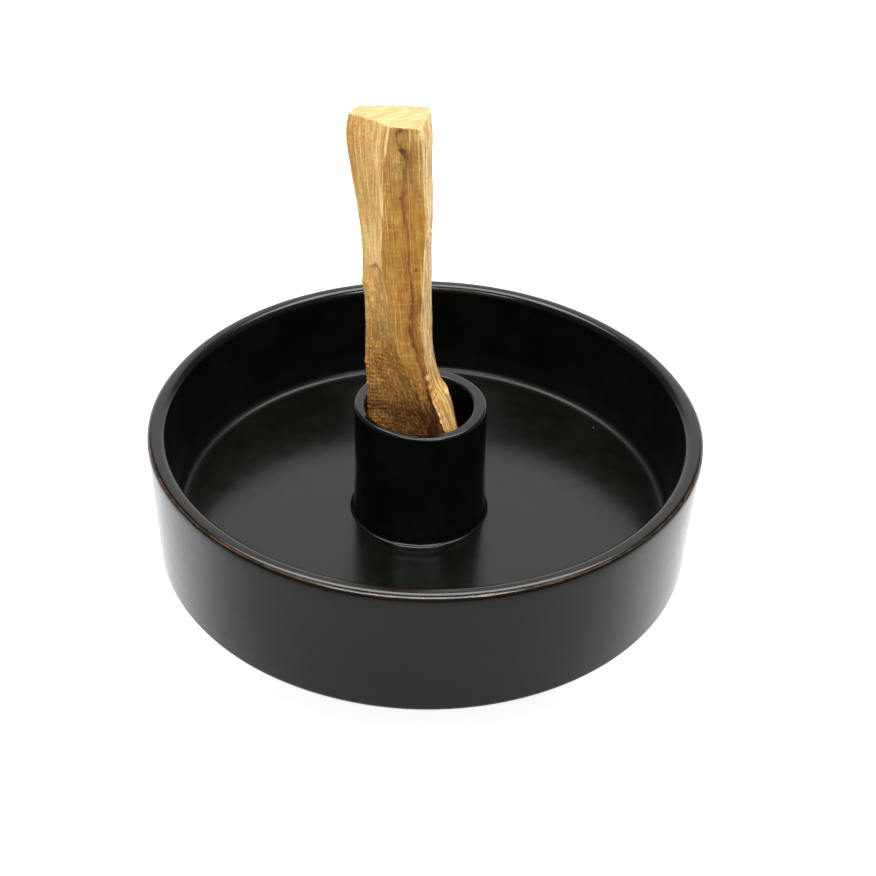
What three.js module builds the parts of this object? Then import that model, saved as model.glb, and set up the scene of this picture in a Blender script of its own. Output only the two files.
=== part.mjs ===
// Palo santo incense burner: a round glazed tray, a cup luted on its floor, and a loose wooden stick.
// Millimetres, +Z up. The origin is the centre of the tray's foot ring, on the table.
import * as THREE from "three";

const DEG = Math.PI / 180;

// Tray
const TRAY_RADIUS = 62.5;
const TRAY_HEIGHT = 32.0;
const TRAY_FLOOR_Z = 8.0;
const WALL_AT_RIM = 3.9;
const INNER_RADIUS_AT_FLOOR = 58.0;
const OUTER_RADIUS_AT_FOOT = 61.3;
const RIM_OUTER_ROUND = 1.6;
const RIM_INNER_ROUND = 1.6;
const FLOOR_FILLET = 4.0;
const FOOT_ROUND = 1.4;
const FOOT_RING_INNER_RADIUS = 54.0;
const FOOT_RECESS_HEIGHT = 1.8;
const FOOT_RECESS_SLOPE = 1.4;
const TRAY_SEGMENTS = 96;

// Cup
const CUP_CENTRE = { x: -1.3, y: -0.7 };
const CUP_RADIUS = 14.8;
const CUP_INNER_RADIUS = 12.45;
const CUP_TOP_Z = 36.6;
const CUP_FLOOR_THICKNESS = 2.7;
const CUP_FLOOR_FILLET = 1.5;
const CUP_OUTER_ROUND = 0.7;
const CUP_INNER_ROUND = 0.6;
const COLLAR_SWELL = 1.0;
const COLLAR_HEIGHT = 4.6;
const COLLAR_FLARE = 1.3;
const JOINT_GAP = 0.3;
const CUP_SEGMENTS = 64;

// Stick
const STICK_GAP = 0.3;

const glaze = { color: 0x141512, roughness: 0.32, metalness: 0 };
const wood = { color: 0xc79a5e, roughness: 0.8, metalness: 0 };

// Points on an arc in the (radius, z) plane, angles in degrees from the +radius direction.
function arc(r, z, radius, from, to, steps) {
  const points = [];
  for (let i = 0; i <= steps; i++) {
    const a = (from + ((to - from) * i) / steps) * DEG;
    points.push(new THREE.Vector2(r + radius * Math.cos(a), z + radius * Math.sin(a)));
  }
  return points;
}

// A solid of revolution about +Z from a profile that runs anticlockwise, axis to axis.
function turned(name, profile, segments, material) {
  const geometry = new THREE.LatheGeometry(profile, segments);
  geometry.rotateX(90 * DEG);
  const mesh = new THREE.Mesh(geometry, new THREE.MeshStandardMaterial(material));
  mesh.name = name;
  return mesh;
}

function makeTray() {
  const innerAtRim = TRAY_RADIUS - WALL_AT_RIM;
  const profile = [
    new THREE.Vector2(0, FOOT_RECESS_HEIGHT),
    new THREE.Vector2(FOOT_RING_INNER_RADIUS - FOOT_RECESS_SLOPE, FOOT_RECESS_HEIGHT),
    new THREE.Vector2(FOOT_RING_INNER_RADIUS, 0),
    ...arc(OUTER_RADIUS_AT_FOOT - FOOT_ROUND, FOOT_ROUND, FOOT_ROUND, -90, 0, 3),
    ...arc(TRAY_RADIUS - RIM_OUTER_ROUND, TRAY_HEIGHT - RIM_OUTER_ROUND, RIM_OUTER_ROUND, 0, 90, 5),
    ...arc(innerAtRim + RIM_INNER_ROUND, TRAY_HEIGHT - RIM_INNER_ROUND, RIM_INNER_ROUND, 90, 180, 5),
    ...arc(INNER_RADIUS_AT_FLOOR - FLOOR_FILLET, TRAY_FLOOR_Z + FLOOR_FILLET, FLOOR_FILLET, 0, -90, 5),
    new THREE.Vector2(0, TRAY_FLOOR_Z),
  ];
  return turned("tray", profile, TRAY_SEGMENTS, glaze);
}

// The cup wall swells into a low collar of slip and flares out to a thin foot on the tray floor.
function makeCup() {
  const base = TRAY_FLOOR_Z + JOINT_GAP;
  const floor = TRAY_FLOOR_Z + CUP_FLOOR_THICKNESS;
  const collar = [
    [COLLAR_FLARE, 0],
    [COLLAR_SWELL + 0.05, 0.25],
    [COLLAR_SWELL, 0.9],
    [COLLAR_SWELL * 0.85, 1.8],
    [COLLAR_SWELL * 0.45, 2.9],
    [COLLAR_SWELL * 0.12, 3.9],
    [0, COLLAR_HEIGHT],
  ].map(([swell, rise]) => new THREE.Vector2(CUP_RADIUS + swell, base + rise));
  const profile = [
    new THREE.Vector2(0, base),
    ...collar,
    ...arc(CUP_RADIUS - CUP_OUTER_ROUND, CUP_TOP_Z - CUP_OUTER_ROUND, CUP_OUTER_ROUND, 0, 90, 3),
    ...arc(CUP_INNER_RADIUS + CUP_INNER_ROUND, CUP_TOP_Z - CUP_INNER_ROUND, CUP_INNER_ROUND, 90, 180, 3),
    ...arc(CUP_INNER_RADIUS - CUP_FLOOR_FILLET, floor + CUP_FLOOR_FILLET, CUP_FLOOR_FILLET, 0, -90, 3),
    new THREE.Vector2(0, floor),
  ];
  const cup = turned("cup", profile, CUP_SEGMENTS, glaze);
  cup.position.set(CUP_CENTRE.x, CUP_CENTRE.y, 0);
  return cup;
}

// The split stick is a stack of sections. Each section names the edges a hand would feel:
// the left edge, the left and right edges of the front face, the right edge and the two back edges.
// z, then x and y of: left edge, left front edge, right front edge, right edge, back right, back left
const STICK_SECTIONS = [
  [0, [-12.6, -0.7], [3.5, -5.7], [6.1, -5.3], [8.7, -1.7], [6.3, 4.3], [-10.7, 3.7]],
  [8.4, [-13.0, -0.7], [3.1, -6.1], [5.5, -5.7], [8.5, -1.5], [5.9, 4.5], [-11.0, 3.9]],
  [16.5, [-13.2, -0.7], [2.7, -6.2], [4.9, -5.8], [7.7, -1.1], [5.1, 4.7], [-11.3, 4.1]],
  [21.5, [-13.3, -0.7], [1.7, -6.2], [4.0, -5.7], [6.6, -0.7], [4.3, 4.9], [-11.4, 4.3]],
  [27, [-13.3, -0.7], [-0.3, -6.1], [2.2, -5.5], [5.1, -0.3], [3.3, 4.9], [-11.5, 4.5]],
  [31.6, [-13.4, -0.7], [-2.2, -6.0], [0.6, -5.3], [2.8, -0.1], [1.7, 5.0], [-11.6, 4.7]],
  [37.6, [-13.7, -0.5], [-4.9, -5.8], [-0.5, -5.2], [1.1, 0.1], [0.7, 5.1], [-11.9, 4.9]],
  [46.7, [-13.7, -0.3], [-7.5, -5.7], [-1.8, -5.2], [0.5, 0.5], [0.1, 5.1], [-12.0, 5.0]],
  [55.7, [-14.3, -0.1], [-8.9, -5.5], [-1.4, -5.3], [0.3, 0.9], [-0.1, 5.2], [-12.4, 5.1]],
  [64.8, [-14.5, 0.1], [-10.3, -5.2], [-1.3, -5.2], [0.1, 1.5], [-0.3, 5.2], [-12.7, 5.1]],
  [72.8, [-15.4, 0.3], [-10.2, -5.0], [-0.8, -5.1], [0.4, 2.1], [0.0, 5.2], [-13.4, 5.0]],
  [82.9, [-17.0, 0.7], [-10.0, -4.7], [-1.3, -5.1], [0.1, 2.7], [-0.2, 5.2], [-14.7, 4.9]],
  [90.9, [-17.9, 1.0], [-9.4, -4.5], [-2.2, -5.1], [-0.3, 3.1], [-0.6, 5.2], [-15.6, 4.8]],
];
const STICK_TOP_RISE = 94.3;
const STICK_TOP = [[-17.4, 1.3], [-9.0, -4.4], [-3.0, -5.1], [-0.9, 3.4], [-1.2, 5.2], [-15.4, 4.7]];

// Bulge of each face between its two edges, as a share of the face's width.
const FACE_BULGE = [-0.06, 0.03, 0.02, 0.06, 0.06, 0.04];

function stickRing(corners, z) {
  const ring = [];
  corners.forEach(([x, y], i) => {
    const [nextX, nextY] = corners[(i + 1) % corners.length];
    const bulge = FACE_BULGE[i];
    ring.push([x, y, z]);
    ring.push([
      (x + nextX) / 2 + (nextY - y) * bulge,
      (y + nextY) / 2 - (nextX - x) * bulge,
      z,
    ]);
  });
  return ring;
}

// Closed skin over a stack of equal-length rings, with a fan over each end.
function loft(name, rings, material) {
  const count = rings[0].length;
  const positions = rings.flat(2);
  const index = [];
  for (let level = 0; level < rings.length - 1; level++) {
    for (let i = 0; i < count; i++) {
      const a = level * count + i;
      const b = level * count + ((i + 1) % count);
      index.push(a, b, b + count, a, b + count, a + count);
    }
  }
  for (const [level, flip] of [[0, true], [rings.length - 1, false]]) {
    const centre = positions.length / 3;
    for (let axis = 0; axis < 3; axis++) {
      positions.push(rings[level].reduce((sum, point) => sum + point[axis], 0) / count);
    }
    for (let i = 0; i < count; i++) {
      const a = level * count + i;
      const b = level * count + ((i + 1) % count);
      index.push(...(flip ? [b, a, centre] : [a, b, centre]));
    }
  }
  const geometry = new THREE.BufferGeometry();
  geometry.setAttribute("position", new THREE.Float32BufferAttribute(positions, 3));
  geometry.setIndex(index);
  geometry.computeVertexNormals();
  const mesh = new THREE.Mesh(geometry, new THREE.MeshStandardMaterial(material));
  mesh.name = name;
  return mesh;
}

function makeStick() {
  const rings = STICK_SECTIONS.map(([z, ...corners]) => stickRing(corners, z));
  rings.push(stickRing(STICK_TOP, STICK_TOP_RISE));
  const stick = loft("stick", rings, wood);
  stick.position.z = TRAY_FLOOR_Z + CUP_FLOOR_THICKNESS + STICK_GAP;
  return stick;
}

const burner = new THREE.Group();
burner.name = "incense_burner";
burner.add(makeTray(), makeCup(), makeStick());

export default burner;
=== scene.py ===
"""Palo santo incense burner: a black glazed tray, a cup luted on its floor, and a loose split stick.

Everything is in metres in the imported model's frame. Lengths are written in millimetres and turned
into metres with MM. Each CAD node is replaced by a finer piece, placed and sized from the frame.
"""
import math
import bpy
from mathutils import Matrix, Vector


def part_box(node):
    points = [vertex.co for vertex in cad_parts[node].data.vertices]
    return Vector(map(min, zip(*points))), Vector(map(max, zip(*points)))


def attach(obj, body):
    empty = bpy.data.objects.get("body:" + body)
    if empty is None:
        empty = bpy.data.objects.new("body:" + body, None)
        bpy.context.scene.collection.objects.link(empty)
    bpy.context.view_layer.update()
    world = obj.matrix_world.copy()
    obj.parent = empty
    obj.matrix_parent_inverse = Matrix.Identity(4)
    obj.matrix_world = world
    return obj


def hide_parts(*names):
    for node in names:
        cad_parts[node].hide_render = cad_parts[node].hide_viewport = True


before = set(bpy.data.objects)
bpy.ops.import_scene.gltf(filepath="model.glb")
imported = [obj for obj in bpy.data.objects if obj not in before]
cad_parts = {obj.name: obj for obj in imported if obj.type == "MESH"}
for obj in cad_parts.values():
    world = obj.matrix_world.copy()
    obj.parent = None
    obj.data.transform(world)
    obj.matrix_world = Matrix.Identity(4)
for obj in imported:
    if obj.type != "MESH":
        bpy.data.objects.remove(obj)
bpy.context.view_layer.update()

from types import SimpleNamespace

import bpy
import numpy as np
from mathutils import Matrix, Vector, noise

MM = 0.001

# Tray section, in millimetres. Its full radius and height come from the frame.
FLOOR_Z = 8.0
WALL_AT_RIM = 4.2
INNER_RADIUS_AT_FLOOR = 57.1
OUTER_RADIUS_AT_FOOT = 61.3
RIM_OUTER_ROUND = 1.85
RIM_OUTER_ROUND_AT_SIDES = 1.2
RIM_INNER_ROUND = 2.0
FLOOR_FILLET = 1.7
FOOT_ROUND = 1.4
FOOT_RING_INNER_RADIUS = 54.0
FOOT_RECESS = 1.8
TRAY_AROUND = 420

# Cup section. Its centre and full height come from the frame.
CUP_RADIUS = 14.8
CUP_INNER_RADIUS = 12.15
CUP_FLOOR_Z = 10.7
CUP_FLOOR_FILLET = 1.5
CUP_OUTER_ROUND = 0.7
CUP_INNER_ROUND = 0.6
CUP_AROUND = 300
CUP_SINKS_IN = 0.35
# The collar of slip round the cup's foot: how far it stands out from the wall, and how high
COLLAR = [(1.2, 0.02), (0.86, 0.12), (0.64, 0.27), (0.51, 0.46), (0.44, 0.7), (0.42, 1.1), (0.42, 1.5),
          (0.42, 2.0), (0.4, 2.5), (0.36, 3.0), (0.31, 3.6), (0.26, 4.2), (0.22, 5.0), (0.18, 6.2),
          (0.12, 7.6), (0.06, 9.4), (0.0, 11.4)]

# How far hand work departs from true
TRAY_OVAL = 0.1
TRAY_THREE_SIDED = 0.05
RIM_WAVE = 0.25
FRONT_FOOT_BULGE = 0.45
RIGHT_RIM_BULGE = 0.2
CHIP_DEPTH = 0.16
CUP_LEAN = 0.44
CUP_BORE_FORWARD = 0.25
CUP_FRONT_PULL = 0.9
COLLAR_FORWARD = 0.45
CUP_RIGHT_SWELL = 0.4

# Camera
CAMERA_AT = (0.0, -323.0, 256.57)
CAMERA_PAN = 0.514
CAMERA_TILT = 35.456
CAMERA_ROLL = 1.928
CAMERA_LENS = 71.23

# Stage, in metres and watts: the world's glow, the table's, and two softboxes
STUDIO_GLOW = 0.2
PANEL_GLOW = 1.7
TABLE_GLOW = 1.43
TABLE_GLOW_IN_FRONT = 0.79
TABLE_SIZE = 30.0
TABLE_GREY = 0.12
# A painted shadow on the table in front of the tray: there it glows only TABLE_GLOW_IN_FRONT, from this y
# (metres) forward and out to this distance (metres)
PAINTED_SHADE_BACK_EDGE = (-0.058, -0.028)
PAINTED_SHADE_REACH = (0.5, 1.0)
SOFTBOXES = {
    "overhead_softbox": {"place": (0.0, 0.153, 0.785), "width": 0.86, "depth": 0.36, "power": 13.6},
    "front_strip": {"place": (0.0, -0.459, 0.655), "width": 0.80, "depth": 0.16, "power": 9.4},
}


def smoothstep(low, high, value):
    t = np.clip((value - low) / (high - low), 0.0, 1.0)
    return t * t * (3.0 - 2.0 * t)


def hump(value, centre, width):
    """A bell curve, 1 at centre."""
    return np.exp(-(((value - centre) / width) ** 2))


def noise_at(points, size, seed=0.0):
    """Perlin noise, about -1 to 1, at points in millimetres; size is the feature size along each axis."""
    scaled = points / np.asarray(size, float) + seed
    return np.array([noise.noise(Vector(p)) for p in scaled])


def mesh_piece(name, points, faces, body, node, material, values=None, vectors=None):
    """A smooth-shaded mesh from points in millimetres that stands for one CAD node."""
    mesh = bpy.data.meshes.new(name)
    mesh.from_pydata((np.asarray(points) * MM).tolist(), [], faces)
    mesh.polygons.foreach_set("use_smooth", [True] * len(mesh.polygons))
    for key, numbers in (values or {}).items():
        layer = mesh.attributes.new(key, "FLOAT", "POINT")
        layer.data.foreach_set("value", np.asarray(numbers, np.float32))
    for key, numbers in (vectors or {}).items():
        layer = mesh.attributes.new(key, "FLOAT_VECTOR", "POINT")
        layer.data.foreach_set("vector", np.asarray(numbers, np.float32).reshape(-1))
    mesh.update()
    piece = bpy.data.objects.new(name, mesh)
    bpy.context.scene.collection.objects.link(piece)
    piece.data.materials.append(material)
    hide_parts(node)
    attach(piece, body)
    return piece


# ---------------------------------------------------------------------------------- turned pieces


def arc(r, z, radius, start, end, steps):
    """Points on an arc of the (radius, height) section, angles in degrees from the outward axis."""
    turns = [math.radians(start + (end - start) * i / steps) for i in range(steps + 1)]
    return [(r + radius * math.cos(t), z + radius * math.sin(t)) for t in turns]


def fill_in(section, spacing):
    """The section with points added so that no two neighbours are further apart than spacing."""
    filled = [section[0]]
    for start, end in zip(section, section[1:]):
        length = math.dist(start, end)
        steps = max(1, math.ceil(length / spacing))
        for i in range(1, steps + 1):
            t = i / steps
            filled.append((start[0] + (end[0] - start[0]) * t, start[1] + (end[1] - start[1]) * t))
    return filled


def turned_faces(rows, around):
    """Quads between neighbouring rings, and a fan to the axis point before and after them."""
    first, last = 0, 1 + rows * around
    faces = []
    for i in range(around):
        j = (i + 1) % around
        faces.append((first, 1 + j, 1 + i))
        faces.append((last, 1 + (rows - 1) * around + i, 1 + (rows - 1) * around + j))
        for row in range(rows - 1):
            low, high = 1 + row * around, 1 + (row + 1) * around
            faces.append((low + i, low + j, high + j, high + i))
    return faces


def turned_points(section, around):
    """The section, axis to axis, swept about +Z. Returns each point's radius, height and angle."""
    radii = np.array([p[0] for p in section[1:-1]])
    heights = np.array([p[1] for p in section[1:-1]])
    angles = np.linspace(0.0, 2.0 * math.pi, around, endpoint=False)
    radius = np.concatenate([[0.0], np.repeat(radii, around), [0.0]])
    height = np.concatenate([[section[0][1]], np.repeat(heights, around), [section[-1][1]]])
    angle = np.concatenate([[0.0], np.tile(angles, len(radii)), [0.0]])
    return radius, height, angle


def tray_section(radius, height):
    """From the middle of the underside, round the foot, wall and rim, to the middle of the floor."""
    inner_at_rim = radius - WALL_AT_RIM
    corners = [(0.0, FOOT_RECESS), (FOOT_RING_INNER_RADIUS - 2.6, FOOT_RECESS)]
    corners += [(FOOT_RING_INNER_RADIUS - 1.2, FOOT_RECESS - 0.35), (FOOT_RING_INNER_RADIUS - 0.3, 0.35)]
    corners += [(FOOT_RING_INNER_RADIUS + 0.3, 0.0)]
    corners += arc(OUTER_RADIUS_AT_FOOT - FOOT_ROUND, FOOT_ROUND, FOOT_ROUND, -90, 0, 10)
    corners += arc(radius - RIM_OUTER_ROUND, height - RIM_OUTER_ROUND, RIM_OUTER_ROUND, 0, 90, 16)
    corners += arc(inner_at_rim + RIM_INNER_ROUND, height - RIM_INNER_ROUND, RIM_INNER_ROUND, 90, 180, 16)
    corners += arc(INNER_RADIUS_AT_FLOOR - FLOOR_FILLET, FLOOR_Z + FLOOR_FILLET, FLOOR_FILLET, 0, -90, 18)
    corners += [(0.0, FLOOR_Z)]
    return fill_in(corners, 1.0)


def make_tray(material):
    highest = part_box("tray")[1]
    full_radius, full_height = highest.x / MM, highest.z / MM
    section = tray_section(full_radius, full_height)
    radius, height, angle = turned_points(section, TRAY_AROUND)
    level = height / full_height
    outward = radius / full_radius

    # The wall is thrown, so it is a little oval and its rim rises and dips.
    oval = TRAY_OVAL * np.cos(2.0 * angle - 0.2) + TRAY_THREE_SIDED * np.cos(3.0 * angle + 1.1)
    on_wall = smoothstep(0.82, 0.95, outward)
    path = np.stack([full_radius * np.cos(angle), full_radius * np.sin(angle), height], 1)
    rings = noise_at(path, (90.0, 90.0, 3.2), 4.0) * 0.02 * on_wall
    swell = noise_at(path, (30.0, 30.0, 14.0), 9.0) * 0.08 * on_wall
    wave = RIM_WAVE * (0.4 * np.sin(angle) + 0.6 * hump(angle, math.radians(76.0), 0.5))
    in_front = hump(angle, math.radians(270.0), 0.6)
    at_right = hump(angle, 0.0, 0.5) + hump(angle, 2.0 * math.pi, 0.5)
    front_foot = FRONT_FOOT_BULGE * in_front * (1.0 - smoothstep(0.1, 0.7, level)) * on_wall
    right_rim = RIGHT_RIM_BULGE * at_right * smoothstep(0.5, 0.9, level) * on_wall
    right_rim = right_rim * smoothstep(full_radius - 2.5, full_radius - 1.0, radius)
    flat = np.stack([radius * np.cos(angle), radius * np.sin(angle), height], 1)
    floor_wave = noise_at(flat, (26.0, 26.0, 26.0), 2.0) * 0.05
    on_floor = (height > FOOT_RECESS + 1.0) * (1.0 - smoothstep(0.8, 0.9, outward))

    # Small chips and pinholes where the glaze crawled off the outer edge of the rim
    chip_noise = noise_at(path, (1.5, 1.5, 1.2), 40.0)
    at_edge = hump(np.hypot(radius - (full_radius - 0.3), height - (full_height - 0.7)), 0.0, 0.5)
    chips = smoothstep(0.48, 0.66, chip_noise) * at_edge
    moved = radius + oval * outward + rings + swell + front_foot + right_rim - CHIP_DEPTH * chips
    rise = wave * smoothstep(0.75, 1.0, level) * on_wall + floor_wave * on_floor - 0.10 * chips

    # The rim's outer edge is less rounded at the tray's sides than in front.
    tighter = (RIM_OUTER_ROUND - RIM_OUTER_ROUND_AT_SIDES) * smoothstep(0.35, 0.75, np.abs(np.cos(angle)))
    tighter = tighter * smoothstep(0.35, -0.1, np.sin(angle))
    over = (radius - (full_radius - RIM_OUTER_ROUND)) / RIM_OUTER_ROUND
    up = (height - (full_height - RIM_OUTER_ROUND)) / RIM_OUTER_ROUND
    on_round = (over > -0.01) & (up > -0.01)
    moved = moved + tighter * (1.0 - over) * on_round
    rise = rise + tighter * (1.0 - up) * on_round
    points = np.stack([moved * np.cos(angle), moved * np.sin(angle), height + rise], 1)

    # Glaze runs thin over the outer rim edge, is wiped off the foot, and pools where wall meets floor.
    thin_at = math.radians(50.0)
    thin_r = full_radius - RIM_OUTER_ROUND * (1.0 - math.cos(thin_at))
    thin_z = full_height - RIM_OUTER_ROUND * (1.0 - math.sin(thin_at))
    thin = hump(np.hypot(radius - thin_r, height - thin_z), 0.0, 0.34)
    thin = np.maximum(thin, chips)
    foot = (height < 2.4) * smoothstep(FOOT_RING_INNER_RADIUS - 3.0, FOOT_RING_INNER_RADIUS - 1.4, radius)
    bare = foot * (1.0 - smoothstep(0.35, 0.8, height))
    inside = (height > FLOOR_Z - 0.5) * (radius < full_radius - WALL_AT_RIM)
    flat_floor_radius = INNER_RADIUS_AT_FLOOR - FLOOR_FILLET
    pool = smoothstep(flat_floor_radius - 1.0, flat_floor_radius + 0.5, radius)
    pool = pool * (1.0 - smoothstep(FLOOR_Z + 4.0, FLOOR_Z + 7.0, height)) * inside
    return mesh_piece("tray_glazed", points, turned_faces(len(section) - 2, TRAY_AROUND), "burner",
                      "tray", material, {"thin": thin, "bare": bare, "pool": pool})


def cup_section(height):
    """From the underside, out over the luted collar, up and over the rim, to the middle of the inside."""
    base = FLOOR_Z - CUP_SINKS_IN
    corners = [(0.0, base), (CUP_RADIUS + COLLAR[0][0] + 0.1, base)]
    corners += [(CUP_RADIUS + out, FLOOR_Z + up) for out, up in COLLAR]
    corners += arc(CUP_RADIUS - CUP_OUTER_ROUND, height - CUP_OUTER_ROUND, CUP_OUTER_ROUND, 0, 90, 10)
    corners += arc(CUP_INNER_RADIUS + CUP_INNER_ROUND, height - CUP_INNER_ROUND, CUP_INNER_ROUND, 90, 180, 10)
    corners += arc(CUP_INNER_RADIUS - CUP_FLOOR_FILLET, CUP_FLOOR_Z + CUP_FLOOR_FILLET, CUP_FLOOR_FILLET,
                   0, -90, 6)
    corners += [(0.0, CUP_FLOOR_Z)]
    return fill_in(corners, 0.6)


def make_cup(material):
    low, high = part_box("cup")
    centre = (low + high) / 2.0 / MM
    full_height = high.z / MM
    section = cup_section(full_height)
    radius, height, angle = turned_points(section, CUP_AROUND)

    path = np.stack([CUP_RADIUS * np.cos(angle), CUP_RADIUS * np.sin(angle), height], 1)
    on_wall = smoothstep(8.0, 12.0, radius)
    collar = smoothstep(FLOOR_Z + 4.9, FLOOR_Z + 1.5, height) * (radius > CUP_RADIUS - 0.2)
    swell = noise_at(path, (11.0, 11.0, 9.0), 3.0) * 0.07 * on_wall
    bead = noise_at(path, (6.0, 6.0, 30.0), 6.0) * 0.1 * collar
    moved = radius + swell + bead
    climb = smoothstep(FLOOR_Z + 2.0, full_height, height)
    wave = 0.10 * np.sin(2.0 * angle + 0.4) + 0.06 * np.sin(3.0 * angle + 1.9)
    lean = CUP_LEAN * (0.5 - (height - FLOOR_Z) / (full_height - FLOOR_Z))
    bore = (radius < (CUP_RADIUS + CUP_INNER_RADIUS) / 2.0) * (height > FLOOR_Z + 1.0)
    pull = CUP_FRONT_PULL * hump(angle, math.radians(250.0), 0.75)
    pull = pull * smoothstep(FLOOR_Z + 6.0, full_height, height)
    to_right = np.maximum(np.cos(angle), 0.0) ** 2 * (1.0 - 0.5 * collar)
    moved = moved + (CUP_RIGHT_SWELL * to_right - pull) * (1.0 - bore) * on_wall
    forward = CUP_BORE_FORWARD * bore + COLLAR_FORWARD * collar
    points = np.stack([centre.x + lean + moved * np.cos(angle),
                       centre.y - forward + moved * np.sin(angle), height + wave * climb], 1)

    edge = np.hypot(radius - (CUP_RADIUS - 0.1), height - (full_height - 0.4))
    thin = 0.2 * hump(edge, 0.0, 0.3)
    none = np.zeros(len(thin))
    return mesh_piece("cup_glazed", points, turned_faces(len(section) - 2, CUP_AROUND), "burner",
                      "cup", material, {"thin": thin, "bare": none, "pool": none})


# ------------------------------------------------------------------------------------------ stick

# The dark resin streak down the front: height, x, half width and strength
STREAK = [(11.0, 2.2, 0.8, 0.7), (20.0, 1.8, 0.7, 0.7), (28.0, 1.4, 0.7, 0.7), (33.4, 1.1, 0.6, 0.7),
          (36.9, 1.0, 0.5, 0.8), (39.6, 0.9, 0.5, 0.8), (42.0, 0.5, 0.5, 0.9), (44.6, 0.0, 0.45, 0.9),
          (46.4, -0.5, 0.4, 1.0), (48.8, -0.9, 0.4, 0.9), (51.6, -1.9, 0.35, 0.9), (54.7, -2.8, 0.4, 1.0),
          (57.0, -3.3, 0.45, 1.0), (61.0, -3.4, 0.5, 1.0), (64.8, -3.4, 0.45, 1.0), (66.8, -3.4, 0.3, 0.9),
          (69.0, -3.6, 0.3, 0.9), (71.4, -3.8, 0.25, 0.8), (74.3, -4.3, 0.22, 0.7), (78.1, -4.4, 0.2, 0.6),
          (81.7, -4.7, 0.25, 0.7), (84.5, -5.1, 0.45, 0.8), (88.0, -5.7, 0.5, 0.75), (90.2, -5.7, 0.5, 0.8),
          (92.5, -5.5, 0.4, 0.65), (96.2, -5.5, 0.32, 0.75), (98.0, -5.1, 0.3, 0.9), (99.5, -5.3, 0.45, 1.0),
          (101.0, -6.3, 0.6, 1.0), (102.8, -7.2, 0.3, 0.5), (104.3, -7.1, 0.35, 0.85),
          (105.4, -6.2, 0.45, 0.8)]
# The path that the fibres follow: height and x
GRAIN_PATH = [(11.0, 5.4), (22.0, 4.8), (30.0, 4.2), (35.0, 3.0), (40.0, 1.4), (46.0, -0.5), (52.0, -2.0),
              (58.0, -3.1), (68.0, -3.7), (80.0, -4.6), (92.0, -5.4), (106.0, -6.0)]
# The section's six faces, and how many points each gets
LEFT, FRONT, RIGHT, BACK_RIGHT, BACK, BACK_LEFT = range(6)
FACE_STEPS = (58, 40, 28, 16, 44, 18)
ROW_SPACING = 0.25
# The rings that close each end, as shares of the section
END_SHARES = (0.985, 0.96, 0.92, 0.87, 0.81, 0.74, 0.66, 0.57, 0.48, 0.39, 0.29, 0.19, 0.09)
# The saw's marks: how they slope across the face, and how far apart they are
SAW_SLOPE = 0.12
SAW_PITCH = 1.05
# How far the split top stands above the CAD's flat one
TOP_RISE = 0.5
# What rounding the long edges takes off the section
SOFTENING = 0.12


def cad_rings(node):
    """The CAD stick's sections, lowest first: each is the ring of its points, from the left edge round."""
    points = np.unique(np.round([tuple(v.co / MM) for v in node.data.vertices], 3), axis=0)
    rings = []
    for height in np.unique(points[:, 2]):
        ring = points[points[:, 2] == height]
        middle = ring.mean(0)
        away = np.hypot(*(ring - middle)[:, :2].T)
        ring = ring[away > 1.0]
        turn = np.arctan2(ring[:, 1] - middle[1], ring[:, 0] - middle[0])
        ring = ring[np.argsort(turn)]
        rings.append(np.roll(ring, -int(ring[:, 0].argmin()), axis=0))
    return np.array(rings)


def smooth_rows(known, values, wanted):
    """Cubic interpolation of rows of values between known heights."""
    slopes = np.gradient(values, known, axis=0)
    index = np.clip(np.searchsorted(known, wanted) - 1, 0, len(known) - 2)
    gap = (known[index + 1] - known[index])[:, None, None]
    t = ((wanted - known[index]) / (known[index + 1] - known[index]))[:, None, None]
    a, b = values[index], values[index + 1]
    ma, mb = slopes[index] * gap, slopes[index + 1] * gap
    return ((2 * t**3 - 3 * t**2 + 1) * a + (t**3 - 2 * t**2 + t) * ma
            + (-2 * t**3 + 3 * t**2) * b + (t**3 - t**2) * mb)


def face_curve(ring, face, steps):
    """Points along one face of a section: a curve through its edge, its middle and the next edge."""
    start, middle, end = ring[2 * face], ring[2 * face + 1], ring[(2 * face + 2) % len(ring)]
    t = (np.arange(steps) / steps)[:, None]
    return (1 - t) * (1 - 2 * t) * start + 4 * t * (1 - t) * middle + t * (2 * t - 1) * end


def face_curves(ring):
    """All the faces of a section, as one closed line of points."""
    return np.concatenate([face_curve(ring, face, steps) for face, steps in enumerate(FACE_STEPS)])


def soften(rows):
    """Rounds the long edges a little by averaging each point with its neighbours round the section."""
    return (np.roll(rows, 1, axis=1) + 2.0 * rows + np.roll(rows, -1, axis=1)) / 4.0


def along(path, z, column):
    """One column of a path's rows at heights z."""
    return np.interp(z, [row[0] for row in path], [row[column] for row in path])


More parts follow.
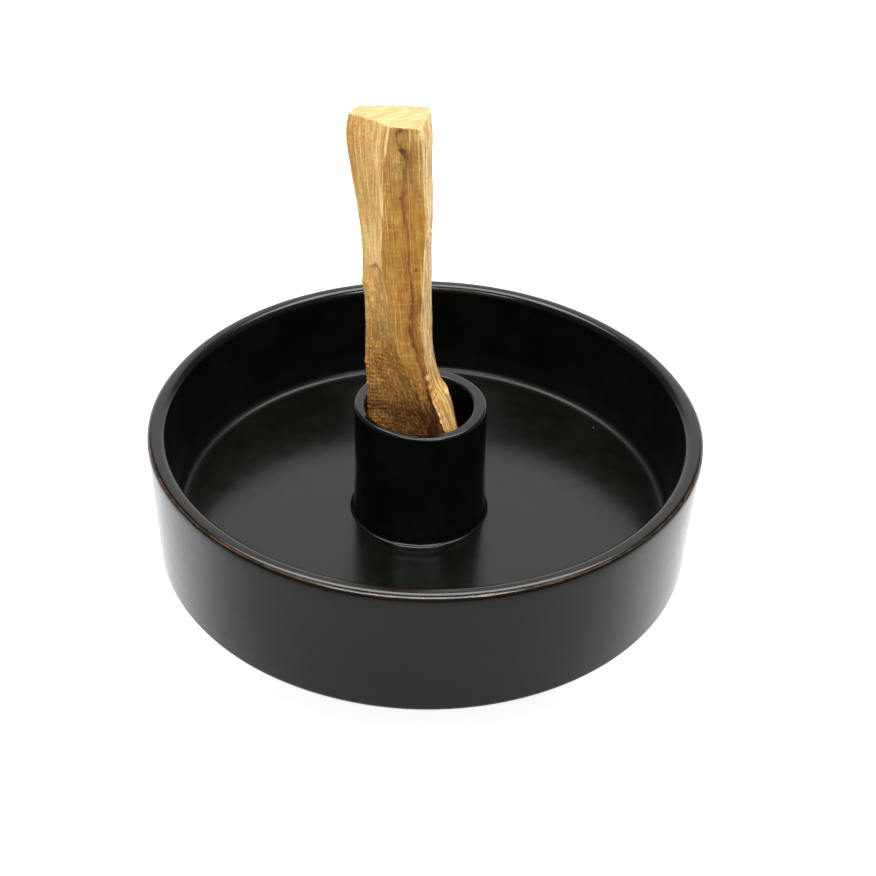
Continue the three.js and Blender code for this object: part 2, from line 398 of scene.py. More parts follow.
def stick_marks(flat, face, share):
    """Where each kind of surface lies on the stick, 0 to 1 at each point of its sides."""
    x, y, z = flat.T
    left, front, right = face == LEFT, face == FRONT, face == RIGHT
    back = np.isin(face, (BACK_RIGHT, BACK, BACK_LEFT))
    ragged = noise_at(flat, (1.2, 1.2, 3.0), 5.0)

    # The saw cut takes the lower left; its upper end is round, and the smooth heartwood runs down past it.
    arch = 73.4 - 0.75 * np.abs(x + 11.3) ** 1.5 + ragged * 0.6
    patch = left * (1.0 - smoothstep(-0.35, 0.35, z - arch))
    tongue = 45.7 + 0.19 * np.maximum(-0.7 - x, 0.0) ** 2.05 + ragged * 0.8
    low_front = front * (1.0 - smoothstep(-0.6, 0.6, z - tongue))
    behind = (face == BACK_LEFT) * (1.0 - smoothstep(60.0, 64.0, z + ragged * 3.0)) * 0.7
    sawn = np.maximum(np.maximum(patch, low_front), behind)
    blade = sawn * (1.0 - smoothstep(48.0, 56.0, z + ragged * 3.0))
    blade = blade * (1.0 - 0.75 * smoothstep(-10.5, -7.0, x + ragged))

    middle = along(STREAK, z, 1) + noise_at(flat, (60.0, 60.0, 2.6), 21.0) * 0.3 - 0.15
    width = along(STREAK, z, 2) * (1.0 + 0.9 * noise_at(flat, (60.0, 60.0, 1.5), 23.0))
    seen_face = (y < -2.6) * (front | left | right)
    aside = np.where(seen_face, np.clip((x - middle) / np.maximum(width, 0.16), -8.0, 8.0), 8.0)
    broken = 0.9 + 0.4 * noise_at(flat, (3.0, 3.0, 2.2), 27.0)
    streak = along(STREAK, z, 3) * seen_face * broken
    halo = (1.0 - smoothstep(0.3, 2.4, np.abs(x - middle - 0.35))) * seen_face
    pit = hump(np.hypot((x + 3.0) / 0.28, (z - 73.6) / 0.55), 0.0, 1.0)
    blob = 0.7 * hump(np.hypot((x + 6.7) / 0.4, (z - 90.2) / 0.5), 0.0, 1.0)
    knot = hump(np.hypot((x + 6.1 + 0.4 * (z - 100.6)) / 0.85, (z - 100.6) / 0.65), 0.0, 1.0)
    hook = 0.9 * hump(np.hypot((x + 6.7 - 0.5 * (z - 104.6)) / 0.7, (z - 104.6) / 0.45), 0.0, 1.0)
    spots = np.maximum(np.maximum(pit, blob), np.maximum(knot, hook)) * front

    # Below the heartwood the streak spreads to the edge of the chamfer.
    root = smoothstep(-0.9, 0.5, x - middle + ragged * 0.8)
    root = np.maximum(root, 0.5 * smoothstep(-5.0, -1.2, x - middle + ragged * 1.5))
    root = root * (front | left) * (1.0 - smoothstep(43.0, 47.5, z))
    brim = hump(z, arch - 0.3, 0.5) * left * hump(x, -11.3, 1.6)
    # A pale line along the edge between the left face and the front, high up: a painted highlight, on fibres
    # that are also raised a little
    arris_highlight = np.maximum(hump(share, 1.0, 0.02) * left, hump(share, 0.0, 0.015) * front)
    broken_arris = smoothstep(-0.2, 0.35, noise_at(flat, (9.0, 9.0, 5.0), 33.0) + 0.25)
    arris_highlight = arris_highlight * smoothstep(76.0, 84.0, z) * broken_arris
    # Darker strips along both edges of the left face high up, and on the front near its left edge
    darker_strips = hump(share, 0.93, 0.03) * left * smoothstep(90.0, 94.0, z)
    darker_strips = np.maximum(darker_strips, hump(share, 0.1, 0.09) * front * smoothstep(62.0, 72.0, z) * 0.7)
    corner = left * (1.0 - smoothstep(0.12, 0.42, share)) * smoothstep(84.0, 94.0, z)
    darker_strips = np.maximum(darker_strips, corner * 0.8)
    ledge = hump(share, 0.80 - 0.02 * (z - 42.0), 0.06) * right
    ledge = ledge * smoothstep(34.0, 37.0, z) * (1.0 - smoothstep(45.0, 48.0, z))
    return {"left": left, "front": front, "chamfer": right, "back": back, "sawn": sawn, "blade": blade,
            "streak": streak, "aside": aside, "spots": spots, "brim": brim, "halo": halo, "root": root,
            "arris_highlight": arris_highlight, "darker_strips": darker_strips, "ledge": ledge}


def stick_relief(flat, grain, cut, face, share, marks, top):
    """How far each point of the stick's sides stands out, in millimetres."""
    x, y, z = flat.T
    left, chamfer = marks["left"], marks["chamfer"]
    fibre = noise_at(grain, (0.8, 0.8, 18.0), 1.0) * 0.07 + noise_at(grain, (0.38, 0.38, 8.0), 2.0) * 0.05
    facet = noise_at(flat, (5.0, 5.0, 15.0), 3.0) * 0.14
    saw = (marks["saw_line"] * 0.07 + noise_at(cut, (2.0, 2.0, 0.35), 12.0) * 0.07) * marks["blade"]
    torn = noise_at(grain, (0.6, 0.6, 3.0), 14.0) * 0.15 + noise_at(grain, (0.5, 0.5, 0.9), 15.0) * 0.11
    torn = torn * marks["sawn"] * (1.0 - 0.45 * marks["blade"])
    split = np.abs(noise_at(grain, (0.9, 0.9, 34.0), 17.0))
    splits_on = 0.7 * chamfer + 0.35 * left * (x < -13.0) + 0.8 * marks["back"]
    split = -0.22 * smoothstep(0.16, 0.0, split) * splits_on
    knot = hump(np.hypot(x + 6.3, (z - 101.0) / 1.6), 0.0, 1.3) * 0.22 * marks["front"]
    groove = -0.10 * marks["streak"] * hump(marks["aside"], 0.0, 1.0) - 0.2 * marks["ledge"]
    raised = 0.07 * marks["arris_highlight"]

    # Nicks and splinters on the long edges
    beside_back = chamfer * smoothstep(0.78, 0.88, share + 0.02 * (z - 42.0))
    right_side = np.maximum(beside_back, face == BACK_RIGHT)
    by_right_edge = chamfer * smoothstep(0.3, 0.95, share)
    by_right_edge = by_right_edge + (face == BACK_RIGHT) * smoothstep(0.6, 0.0, share)
    nick = -0.55 * hump(z, 81.2 + 0.3 * (y - 2.6), 0.55) * by_right_edge
    splinter = 0.4 * np.exp(-(39.7 - z) / 1.4) * (z < 39.7) * smoothstep(34.0, 36.0, z) * right_side
    left_side = (left | (face == BACK_LEFT)) * smoothstep(-12.4, -13.4, x)
    bumps = 0.22 * hump(z, 67.6, 0.9) + 0.2 * hump(z, 47.4, 0.6) - 0.15 * hump(z, 63.0, 1.5)
    fade = smoothstep(0.0, 1.6, top - z) * 0.7 + 0.3
    total = fibre + facet + saw + torn + split + knot + groove + raised + nick + splinter + bumps * left_side
    return total * fade + SOFTENING


def make_stick(material):
    rings = cad_rings(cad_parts["stick"])
    known = rings[:, 0, 2]
    bottom, top = known[0], known[-1]
    count = int((top - bottom) / ROW_SPACING) + 1
    wanted = np.linspace(bottom, top, count)
    sections = smooth_rows(known, rings[:, :, :2], wanted)
    rows = np.array([face_curves(section) for section in sections])
    rows = soften(rows)

    # The upper right side is a little hollow, and the edge between front and chamfer wanders.
    rows[:, :, 0] -= 0.05 * hump(wanted, 90.0, 11.0)[:, None]
    right_part = smoothstep(-4.0, -1.5, rows[:, :, 0])
    rows[:, :, 0] -= 0.38 * right_part * hump(wanted, 92.0, 10.0)[:, None]
    around = rows.shape[1]
    face = np.tile(np.repeat(np.arange(len(FACE_STEPS)), FACE_STEPS), count)
    share = np.tile(np.concatenate([np.arange(n) / n for n in FACE_STEPS]), count)
    by_edge = (face == FRONT) * smoothstep(0.4, 1.0, share) + (face == RIGHT) * smoothstep(0.6, 0.0, share)
    heights = np.stack([wanted * 0.0, wanted * 0.0, wanted], 1)
    ragged_edge = noise_at(heights, (1.0, 1.0, 1.7), 51.0) * 0.55
    ragged_edge += noise_at(heights, (1.0, 1.0, 4.0), 53.0) * 0.4
    wander = 0.5 * hump(wanted, 54.5, 4.5) + ragged_edge * (1.0 - smoothstep(44.0, 52.0, wanted))
    wander += 0.28 * (1.0 - smoothstep(31.0, 38.0, wanted))
    rows[:, :, 0] += by_edge.reshape(count, around) * wander[:, None]

    tangent = np.roll(rows, -1, axis=1) - np.roll(rows, 1, axis=1)
    tangent /= np.linalg.norm(tangent, axis=2, keepdims=True)
    normal = np.stack([tangent[:, :, 1], -tangent[:, :, 0]], 2).reshape(-1, 2)
    height = np.repeat(wanted[:, None], around, 1)
    flat = np.concatenate([rows, height[:, :, None]], 2).reshape(-1, 3)
    x, y, z = flat.T.copy()

    # The grain runs between the left edge and the streak, so fibres bend with the stick.
    left_edge = np.repeat(sections[:, 0, 0], around)
    bend = along(GRAIN_PATH, z, 1)
    across = np.where(x < bend, (x - bend) / (bend - left_edge) * 9.0, x - bend)
    grain = np.stack([across, y, z], 1)
    cut = np.stack([x, y, z - SAW_SLOPE * x], 1)
    marks = stick_marks(flat, face, share)
    waver = noise_at(cut, (5.0, 5.0, 2.0), 8.0)
    saw_line = np.sin(2.0 * math.pi * (cut[:, 2] / SAW_PITCH + 0.7 * waver))
    marks["saw_line"] = saw_line * (0.7 + noise_at(cut, (2.5, 2.5, 1.2), 6.0))
    flat[:, :2] += normal * stick_relief(flat, grain, cut, face, share, marks, top)[:, None]

    sides = flat.reshape(count, around, 3)
    middle_top, middle_bottom = sides[-1].mean(0), sides[0].mean(0)
    caps_low = [middle_bottom + (sides[0] - middle_bottom) * s for s in reversed(END_SHARES)]
    caps_high = [middle_top + (sides[-1] - middle_top) * s for s in END_SHARES]
    rings_per_cap = len(END_SHARES)
    points = np.concatenate([np.array(caps_low), sides, np.array(caps_high)])
    shape = points.shape[:2]
    points = points.reshape(-1, 3)
    near_top = smoothstep(top - 0.4, top - 0.1, points[:, 2])
    turned = points @ np.array([[0.94, -0.34, 0.0], [0.34, 0.94, 0.0], [0.0, 0.0, 1.0]])
    end_fibre = noise_at(turned, (3.5, 0.5, 50.0), 31.0) * 0.10
    end_fibre += noise_at(turned, (1.2, 0.3, 50.0), 37.0) * 0.06
    points[:, 2] += end_fibre * near_top
    points[:, 2] += TOP_RISE * smoothstep(top - 12.0, top, points[:, 2])

    def padded(values, low_value, high_value):
        full = np.full(shape, float(low_value))
        full[-rings_per_cap:] = high_value
        full[rings_per_cap: -rings_per_cap] = np.reshape(values, (count, around))
        return np.concatenate([[low_value], full.reshape(-1), [high_value]])

    def spread(vectors):
        full = turned.copy().reshape(shape + (3,))
        full[rings_per_cap: -rings_per_cap] = np.reshape(vectors, (count, around, 3))
        full = full.reshape(-1, 3)
        return np.concatenate([[full[0]], full, [full[-1]]])

    values = {name: padded(mark, 0, 0) for name, mark in marks.items()}
    values["end"] = padded(np.zeros(len(z)), 1, 1)
    vectors = {"grain": spread(grain), "cut": spread(cut)}
    first, last = points[:around].mean(0), points[-around:].mean(0)
    points = np.concatenate([[first], points, [last]])
    return mesh_piece("stick_split", points, turned_faces(shape[0], around), "loose_stick",
                      "stick", material, values, vectors)


# -------------------------------------------------------------------------------------- materials


class Graph:
    """A short way to write a material's node graph."""

    def __init__(self, name):
        self.material = bpy.data.materials.new(name)
        self.material.use_nodes = True
        self.tree = self.material.node_tree
        self.tree.nodes.clear()
        self.output = self.add("ShaderNodeOutputMaterial")
        self.shader = self.add("ShaderNodeBsdfPrincipled")
        self.tree.links.new(self.shader.outputs[0], self.output.inputs["Surface"])
        self.place = self.add("ShaderNodeTexCoord").outputs["Object"]
        self.unit = 1.0 / MM

    def add(self, kind, **settings):
        node = self.tree.nodes.new(kind)
        for key, value in settings.items():
            setattr(node, key, value)
        return node

    def put(self, socket, value):
        if isinstance(value, bpy.types.NodeSocket):
            self.tree.links.new(value, socket)
        else:
            socket.default_value = value

    def attribute(self, name):
        return self.add("ShaderNodeAttribute", attribute_name=name).outputs["Fac"]

    def vector_attribute(self, name):
        return self.add("ShaderNodeAttribute", attribute_name=name).outputs["Vector"]

    def noise(self, size, detail=2.0, roughness=0.5, shift=0.0, place=None):
        """Noise from 0 to 1 whose features are size = (x, y, z) millimetres.

        The place is the point in metres, or a vector attribute in millimetres."""
        unit = self.unit if place is None else 1.0
        mapping = self.add("ShaderNodeMapping")
        mapping.inputs["Scale"].default_value = [unit / s for s in size]
        mapping.inputs["Location"].default_value = [shift] * 3
        self.put(mapping.inputs["Vector"], place or self.place)
        node = self.add("ShaderNodeTexNoise")
        self.put(node.inputs["Vector"], mapping.outputs[0])
        node.inputs["Scale"].default_value = 1.0
        node.inputs["Detail"].default_value = detail
        node.inputs["Roughness"].default_value = roughness
        return node.outputs["Fac"]

    def specks(self, cell, radius, share):
        """1 inside small round specks of the given radius, in that share of the cells."""
        mapping = self.add("ShaderNodeMapping")
        mapping.inputs["Scale"].default_value = [self.unit / cell] * 3
        self.put(mapping.inputs["Vector"], self.place)
        node = self.add("ShaderNodeTexVoronoi")
        self.put(node.inputs["Vector"], mapping.outputs[0])
        node.inputs["Scale"].default_value = 1.0
        dot = self.span(node.outputs["Distance"], radius / cell, radius / cell * 0.5)
        pick = self.add("ShaderNodeSeparateColor")
        self.put(pick.inputs[0], node.outputs["Color"])
        chosen = self.span(pick.outputs[0], 1.0 - share, 1.0 - share + 0.01)
        return self.math("MULTIPLY", dot, chosen)

    def span(self, value, low, high, to_low=0.0, to_high=1.0):
        """value from low..high mapped to to_low..to_high, smoothly, and held beyond."""
        if low > high:
            low, high, to_low, to_high = high, low, to_high, to_low
        node = self.add("ShaderNodeMapRange", interpolation_type="SMOOTHSTEP")
        self.put(node.inputs["Value"], value)
        for key, number in (("From Min", low), ("From Max", high), ("To Min", to_low), ("To Max", to_high)):
            node.inputs[key].default_value = number
        return node.outputs["Result"]

    def math(self, operation, a, b=0.0):
        node = self.add("ShaderNodeMath", operation=operation, use_clamp=False)
        self.put(node.inputs[0], a)
        self.put(node.inputs[1], b)
        return node.outputs[0]

    def mix(self, share, a, b, blend="MIX"):
        node = self.add("ShaderNodeMix", data_type="RGBA", blend_type=blend, clamp_factor=True)
        self.put(node.inputs["Factor"], share)
        colours = [s for s in node.inputs if s.type == "RGBA"]
        self.put(colours[0], a)
        self.put(colours[1], b)
        return [s for s in node.outputs if s.type == "RGBA"][0]

    def bump(self, height, strength, distance, onto=None):
        node = self.add("ShaderNodeBump")
        self.put(node.inputs["Height"], height)
        node.inputs["Strength"].default_value = strength
        node.inputs["Distance"].default_value = distance * MM
        if onto is not None:
            self.put(node.inputs["Normal"], onto)
        return node.outputs["Normal"]


def colour(red, green, blue):
    """An sRGB colour, 0 to 255, as linear RGBA."""
    def linear(c):
        c /= 255.0
        return c / 12.92 if c <= 0.04045 else ((c + 0.055) / 1.055) ** 2.4
    return (linear(red), linear(green), linear(blue), 1.0)


def make_glaze():
    """Satin black glaze that breaks brown where it runs thin, over brown stoneware."""
    g = Graph("black_satin_glaze")
    thin = g.math("MULTIPLY", g.attribute("thin"), g.noise((3.0, 3.0, 3.0), 3.0, shift=2.0))
    thin = g.span(thin, 0.2, 0.62)
    ragged = g.math("MULTIPLY", g.math("SUBTRACT", g.noise((1.6, 1.6, 1.6), 4.0), 0.5), 0.9)
    bare = g.span(g.math("ADD", g.attribute("bare"), ragged), 0.42, 0.58)
    bare = g.math("MULTIPLY", bare, g.span(g.attribute("bare"), 0.02, 0.2))

    pool = g.noise((9.0, 9.0, 9.0), 3.0, shift=5.0)
    black = g.mix(g.span(pool, 0.35, 0.7), colour(4, 6, 3), colour(8, 9, 6))
    glaze = g.mix(thin, black, colour(70, 50, 34))
    glaze = g.mix(g.specks(4.2, 0.12, 0.09), glaze, colour(200, 196, 184))
    clay_grain = g.noise((0.7, 0.7, 0.7), 4.0, 0.7)
    clay = g.mix(g.span(clay_grain, 0.3, 0.7), colour(118, 76, 48), colour(168, 118, 80))
    g.put(g.shader.inputs["Base Color"], g.mix(bare, glaze, clay))

    satin = g.span(g.noise((2.4, 2.4, 2.4), 4.0, 0.6), 0.3, 0.7, 0.17, 0.22)
    satin = g.mix(g.attribute("pool"), satin, (0.37, 0.37, 0.37, 1.0))
    g.put(g.shader.inputs["Roughness"], g.mix(bare, satin, (0.85, 0.85, 0.85, 1.0)))
    g.shader.inputs["IOR"].default_value = 1.345

    ripple = g.bump(g.noise((5.5, 5.5, 5.5), 2.0, shift=7.0), 0.25, 0.05)
    peel = g.bump(g.noise((0.55, 0.55, 0.55), 2.0), 0.10, 0.02, ripple)
    grit = g.bump(g.math("MULTIPLY", clay_grain, bare), 0.5, 0.12, peel)
    g.put(g.shader.inputs["Normal"], grit)
    return g.material


def wood_patterns(g, grain, cut):
    """The noises that the wood's surfaces share. All but scratch and flecks run along the grain."""
    def along_grain(size, detail, roughness, shift=0.0):
        return g.noise(size, detail, roughness, shift, grain)
    return SimpleNamespace(
        band=along_grain((1.7, 3.0, 50.0), 3.0, 0.6),
        fibre=along_grain((0.34, 0.7, 9.0), 4.0, 0.65, 3.0),
        hair=along_grain((0.15, 0.3, 3.0), 3.0, 0.6, 9.0),
        pores=along_grain((0.22, 0.25, 0.9), 1.0, 0.5, 4.0),
        speckle=along_grain((0.26, 0.3, 0.5), 2.0, 0.6, 1.0),
        lines=along_grain((0.5, 0.8, 24.0), 4.0, 0.6, 15.0),
        mottle=along_grain((2.4, 2.4, 6.0), 4.0, 0.65, 6.0),
        curl=along_grain((3.5, 3.5, 0.7), 2.0, 0.5, 8.0),
        cracks=along_grain((0.4, 0.6, 14.0), 2.0, 0.5, 12.0),
        patches=along_grain((2.6, 2.6, 3.6), 3.0, 0.7, 23.0),
        rings=along_grain((2.6, 0.4, 30.0), 3.0, 0.65),
        ring_lines=along_grain((1.4, 0.3, 30.0), 2.0, 0.6, 5.0),
        scratch=g.noise((3.0, 3.0, 0.2), 3.0, 0.6, 2.0, cut),
        flecks=g.noise((0.4, 0.4, 0.7), 3.0, 0.65, 18.0, cut))


def split_wood(g, n, z):
    """The split faces: tan on the left, gold in front, pale on the chamfer, and a mix at the back."""
    chamfer, back = g.attribute("chamfer"), g.attribute("back")
    tan = g.mix(g.span(n.band, 0.32, 0.68), colour(203, 175, 114), colour(180, 145, 83))
    clear = g.mix(g.span(n.band, 0.32, 0.68), colour(226, 198, 132), colour(199, 164, 99))
    tan = g.mix(g.span(z, 74.0, 94.0, 0.85, 0.0), tan, clear)
    gold = g.mix(g.span(n.mottle, 0.3, 0.7), colour(170, 131, 57), colour(140, 94, 26))
    upper = g.mix(g.span(n.mottle, 0.3, 0.7), colour(167, 142, 88), colour(134, 104, 57))
    gold = g.mix(g.span(z, 86.0, 98.0, 0.0, 0.7), gold, upper)
    pale = g.mix(g.span(n.fibre, 0.3, 0.7), colour(236, 212, 160), colour(196, 160, 106))
    flake = g.mix(g.span(n.fibre, 0.3, 0.7), colour(222, 188, 118), colour(168, 130, 66))
    pale = g.mix(g.span(z, 43.0, 50.0), flake, pale)
    wood = g.mix(g.attribute("front"), tan, gold)
    wood = g.mix(chamfer, wood, pale)
    wood = g.mix(back, wood, g.mix(g.span(n.mottle, 0.35, 0.7), tan, gold))
    # Darker brown strips along the edges of the left face high up, and on the front near its left edge
    wood = g.mix(g.math("MULTIPLY", g.attribute("darker_strips"), 0.7), wood, colour(158, 112, 52))

    wood = g.mix(g.span(n.fibre, 0.4, 0.62, 0.0, 0.55), wood, colour(206, 166, 118), "MULTIPLY")
    wood = g.mix(g.span(n.lines, 0.50, 0.62, 0.0, 0.4), wood, colour(160, 118, 62))
    wood = g.mix(g.span(n.lines, 0.46, 0.34, 0.0, 0.35), wood, colour(240, 206, 142))
    wood = g.mix(g.span(n.hair, 0.54, 0.68, 0.0, 0.3), wood, colour(144, 102, 54))
    wood = g.mix(g.span(n.hair, 0.44, 0.32, 0.0, 0.25), wood, colour(236, 204, 140))
    wood = g.mix(g.span(n.curl, 0.55, 0.75, 0.0, 0.2), wood, colour(224, 188, 122))
    wood = g.mix(g.span(n.pores, 0.62, 0.72, 0.0, 0.4), wood, colour(118, 78, 38))
    cracks = g.math("MULTIPLY", g.span(n.cracks, 0.58, 0.68, 0.0, 0.55), g.math("MAXIMUM", chamfer, back))
    wood = g.mix(cracks, wood, colour(142, 102, 56))
    # Painted highlight: the pale line along the edge between the left face and the front
    return g.mix(g.math("MULTIPLY", g.attribute("arris_highlight"), 0.8), wood, colour(240, 210, 152))


def sawn_wood(g, n, z, blade):
    """The sawn foot: worn and light at its top, then brown with blade marks, and darkest at the bottom,
    partly darker wood and partly painted shade where it goes down into the cup.
    """
    def below(low, high, ragged):
        return g.span(g.math("ADD", z, g.math("MULTIPLY", n.mottle, ragged)), low, high, 1.0, 0.0)
    low_down, foot = below(54.0, 76.0, 12.0), below(38.0, 49.0, 8.0)
    worn = g.mix(g.span(n.mottle, 0.35, 0.65), colour(211, 171, 97), colour(170, 130, 70))
    brown = g.mix(g.span(n.mottle, 0.3, 0.7), colour(178, 128, 60), colour(126, 84, 34))
    wood = g.mix(low_down, worn, brown)
    # Darker towards the bottom, near the cup: partly darker wood, partly painted shade
    wood = g.mix(g.math("MULTIPLY", foot, 0.92), wood, colour(70, 38, 14))

    speckled = g.math("MULTIPLY", g.math("SUBTRACT", n.speckle, 0.5), 3.0)
    ridges = g.math("ADD", g.attribute("saw_line"), speckled)
    light_ridge = g.math("MULTIPLY", blade, g.span(ridges, 0.1, 0.9, 0.0, 0.45))
    dark_ridge = g.math("MULTIPLY", blade, g.span(ridges, -0.1, -0.9, 0.0, 0.55))
    scratch = g.math("MULTIPLY", blade, g.span(n.scratch, 0.52, 0.66, 0.0, 0.4))
    wood = g.mix(light_ridge, wood, colour(206, 156, 84))
    wood = g.mix(dark_ridge, wood, colour(78, 46, 20))
    wood = g.mix(scratch, wood, colour(80, 50, 24))

    dark_hair = g.math("MULTIPLY", low_down, g.span(n.hair, 0.48, 0.64, 0.0, 0.6))
    wood = g.mix(dark_hair, wood, colour(88, 54, 24))
    wood = g.mix(g.span(n.hair, 0.5, 0.7, 0.0, 0.35), wood, colour(140, 98, 50))
    wood = g.mix(g.span(n.hair, 0.44, 0.30, 0.0, 0.55), wood, colour(220, 172, 100))
    torn = g.math("ADD", g.math("MULTIPLY", low_down, 0.7), 0.3)
    dark_fleck = g.math("MULTIPLY", torn, g.span(n.flecks, 0.52, 0.66, 0.0, 0.5))
    light_fleck = g.math("MULTIPLY", torn, g.span(n.flecks, 0.44, 0.32, 0.0, 0.5))
    wood = g.mix(dark_fleck, wood, colour(76, 44, 18))
    wood = g.mix(light_fleck, wood, colour(220, 172, 100))
    dark_patch = g.math("MULTIPLY", foot, g.span(n.patches, 0.5, 0.62, 0.0, 0.6))
    light_patch = g.math("MULTIPLY", foot, g.span(n.patches, 0.47, 0.36, 0.0, 0.45))
    wood = g.mix(dark_patch, wood, colour(70, 38, 14))
    return g.mix(light_patch, wood, colour(160, 112, 54))


def add_resin(g, n, wood):
    """The dark root, and the resin streak, which has ragged edges and is greyer on its left side."""
    root_area = g.attribute("root")
    root = g.math("ADD", root_area, g.math("MULTIPLY", g.math("SUBTRACT", n.fibre, 0.5), 2.0))
    root = g.math("MULTIPLY", g.span(root, 0.2, 0.9, 0.0, 0.92), g.span(root_area, 0.02, 0.3))
    wood = g.mix(root, wood, g.mix(g.span(n.lines, 0.4, 0.6), colour(84, 46, 16), colour(42, 20, 5)))

    wood = g.mix(g.math("MULTIPLY", g.attribute("halo"), 0.35), wood, colour(200, 148, 88), "MULTIPLY")
    aside = g.math("ADD", g.attribute("aside"), g.math("MULTIPLY", g.math("SUBTRACT", n.fibre, 0.5), 3.0))
    aside = g.math("ADD", aside, g.math("MULTIPLY", g.math("SUBTRACT", n.speckle, 0.5), 2.0))
    within = g.span(g.math("ABSOLUTE", aside), 0.5, 1.5, 1.0, 0.0)
    streak = g.math("MULTIPLY", g.math("MULTIPLY", within, g.attribute("streak")), 0.9)
    streak = g.math("MULTIPLY", streak, g.span(root_area, 0.0, 0.6, 1.0, 0.0))
    wood = g.mix(streak, wood, g.mix(g.span(aside, -0.5, 0.6), colour(78, 50, 34), colour(116, 72, 38)))
    spots = g.math("MULTIPLY", g.span(g.attribute("spots"), 0.3, 0.8), 0.85)
    return g.mix(spots, wood, colour(74, 46, 26))


def end_wood(g, n):
    """The pale cut across the top, with the year rings as fine lines."""
    wood = g.mix(g.span(n.rings, 0.32, 0.62), colour(161, 153, 113), colour(141, 121, 76))
    return g.mix(g.span(n.ring_lines, 0.55, 0.72, 0.0, 0.5), wood, colour(140, 104, 60))


def make_wood():
    """Split palo santo: tan and gold faces, a dark resin streak, a sawn brown foot and pale end grain."""
    g = Graph("palo_santo")
    grain, cut = g.vector_attribute("grain"), g.vector_attribute("cut")
    blade = g.attribute("blade")
    n = wood_patterns(g, grain, cut)
    split = g.add("ShaderNodeSeparateXYZ")
    g.put(split.inputs[0], grain)
    z = split.outputs["Z"]

    wood = g.mix(g.attribute("sawn"), split_wood(g, n, z), sawn_wood(g, n, z, blade))
    wood = g.mix(g.math("MULTIPLY", g.attribute("brim"), 0.8), wood, colour(118, 84, 44))
    wood = add_resin(g, n, wood)
    wood = g.mix(g.math("MULTIPLY", g.attribute("ledge"), 0.6), wood, colour(120, 82, 40))
    wood = g.mix(g.attribute("end"), wood, end_wood(g, n))
    wood = g.mix(g.span(n.speckle, 0.48, 0.66, 0.0, 0.5), wood, colour(204, 190, 170), "MULTIPLY")
    g.put(g.shader.inputs["Base Color"], wood)
    g.put(g.shader.inputs["Roughness"], g.span(n.fibre, 0.3, 0.7, 0.62, 0.85))
    g.shader.inputs["IOR"].default_value = 1.45
    g.shader.inputs["Specular IOR Level"].default_value = 0.25

    coarse = g.bump(n.fibre, 0.5, 0.16)
    fine = g.bump(n.hair, 0.5, 0.07, coarse)
    grit = g.bump(n.speckle, 0.4, 0.05, fine)
    ticks = g.bump(g.math("MULTIPLY", n.scratch, blade), 0.6, 0.12, grit)
    g.put(g.shader.inputs["Normal"], ticks)
    return g.material


# ------------------------------------------------------------------------------- stage and camera


def make_table():
    """A white table. It glows, so that it stays white, and less so just in front of the tray, where its
    dimmer glow is a painted soft shadow.
    """
    bpy.ops.mesh.primitive_plane_add(size=TABLE_SIZE, location=(0.0, 0.0, 0.0))
    floor = bpy.context.object
    floor.name = "table"
    g = Graph("white_table")
    split = g.add("ShaderNodeSeparateXYZ")
    g.put(split.inputs[0], g.place)
    g.shader.inputs["Base Color"].default_value = (TABLE_GREY, TABLE_GREY, TABLE_GREY, 1.0)
    g.shader.inputs["Roughness"].default_value = 1.0
    g.shader.inputs["Specular IOR Level"].default_value = 0.0
    g.shader.inputs["Emission Color"].default_value = (1.0, 1.0, 1.0, 1.0)
    reach = g.add("ShaderNodeVectorMath", operation="LENGTH")
    g.put(reach.inputs[0], g.place)
    # Painted shadow: the glow drops to TABLE_GLOW_IN_FRONT in front of the tray, out to about a metre from
    # its middle
    near = g.span(split.outputs["Y"], *PAINTED_SHADE_BACK_EDGE, TABLE_GLOW_IN_FRONT, TABLE_GLOW)
    far = g.span(reach.outputs["Value"], *PAINTED_SHADE_REACH, TABLE_GLOW_IN_FRONT, TABLE_GLOW)
    g.put(g.shader.inputs["Emission Strength"], g.math("MAXIMUM", near, far))
    floor.data.materials.append(g.material)


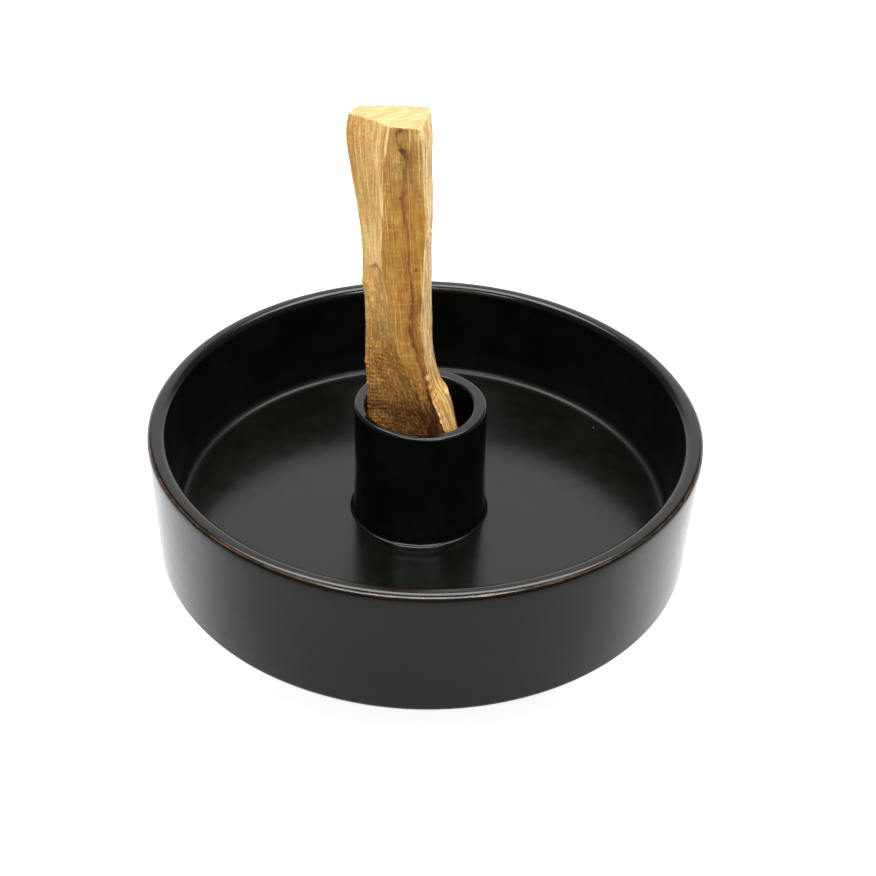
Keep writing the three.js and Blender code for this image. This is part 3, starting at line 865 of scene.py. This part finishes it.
def make_world():
    """A white studio with a bright panel behind the object, and dim elsewhere."""
    world = bpy.data.worlds.new("white_studio")
    bpy.context.scene.world = world
    world.use_nodes = True
    tree = world.node_tree
    background = tree.nodes["Background"]
    background.inputs["Color"].default_value = (1.0, 1.0, 1.0, 1.0)
    direction = tree.nodes.new("ShaderNodeTexCoord")
    split = tree.nodes.new("ShaderNodeSeparateXYZ")
    tree.links.new(direction.outputs["Generated"], split.inputs[0])
    narrow = tree.nodes.new("ShaderNodeMath")
    narrow.operation = "ABSOLUTE"
    tree.links.new(split.outputs["X"], narrow.inputs[0])
    spread = tree.nodes.new("ShaderNodeMath")
    spread.operation = "MULTIPLY_ADD"
    tree.links.new(split.outputs["Z"], spread.inputs[0])
    spread.inputs[1].default_value = 0.75
    tree.links.new(narrow.outputs[0], spread.inputs[2])
    product = tree.nodes.new("ShaderNodeMath")
    product.operation = "MULTIPLY"
    for slot, source, low, high, ends in ((0, split.outputs["Y"], 0.2, 0.6, (0.0, 1.0)),
                                          (1, spread.outputs[0], 0.70, 0.92, (1.0, 0.0))):
        ramp = tree.nodes.new("ShaderNodeMapRange")
        ramp.interpolation_type = "SMOOTHSTEP"
        for key, number in (("From Min", low), ("From Max", high), ("To Min", ends[0]), ("To Max", ends[1])):
            ramp.inputs[key].default_value = number
        tree.links.new(source, ramp.inputs["Value"])
        tree.links.new(ramp.outputs["Result"], product.inputs[slot])
    glow = tree.nodes.new("ShaderNodeMath")
    glow.operation = "MULTIPLY_ADD"
    tree.links.new(product.outputs[0], glow.inputs[0])
    glow.inputs[1].default_value = PANEL_GLOW - STUDIO_GLOW
    glow.inputs[2].default_value = STUDIO_GLOW
    path = tree.nodes.new("ShaderNodeLightPath")
    seen = tree.nodes.new("ShaderNodeMix")
    tree.links.new(path.outputs["Is Camera Ray"], seen.inputs[0])
    tree.links.new(glow.outputs[0], seen.inputs[2])
    seen.inputs[3].default_value = 1.0
    tree.links.new(seen.outputs[0], background.inputs["Strength"])


def make_softbox(name, place, width, depth, power):
    """A rectangular softbox, width along x, that faces the origin."""
    lamp = bpy.data.lights.new(name, "AREA")
    lamp.shape = "RECTANGLE"
    lamp.size = width
    lamp.size_y = depth
    lamp.energy = power
    softbox = bpy.data.objects.new(name, lamp)
    softbox.location = place
    softbox.rotation_euler = (math.atan2(place[1], -place[2]) + math.pi, 0.0, 0.0)
    bpy.context.scene.collection.objects.link(softbox)


def make_camera():
    data = bpy.data.cameras.new("camera")
    data.lens = CAMERA_LENS
    data.clip_start = 0.01
    data.clip_end = 100.0
    camera = bpy.data.objects.new("camera", data)
    turn = (Matrix.Rotation(math.radians(-CAMERA_PAN), 4, "Z")
            @ Matrix.Rotation(math.radians(90.0 - CAMERA_TILT), 4, "X")
            @ Matrix.Rotation(math.radians(CAMERA_ROLL), 4, "Z"))
    camera.matrix_world = Matrix.Translation(Vector(CAMERA_AT) * MM) @ turn
    bpy.context.scene.collection.objects.link(camera)
    bpy.context.scene.camera = camera


# ------------------------------------------------------------------------------------------ build

glaze = make_glaze()
make_tray(glaze)
make_cup(glaze)
make_stick(make_wood())
make_table()
make_world()
for softbox_name, settings in SOFTBOXES.items():
    make_softbox(softbox_name, **settings)
make_camera()
bpy.context.scene.view_settings.view_transform = "Standard"
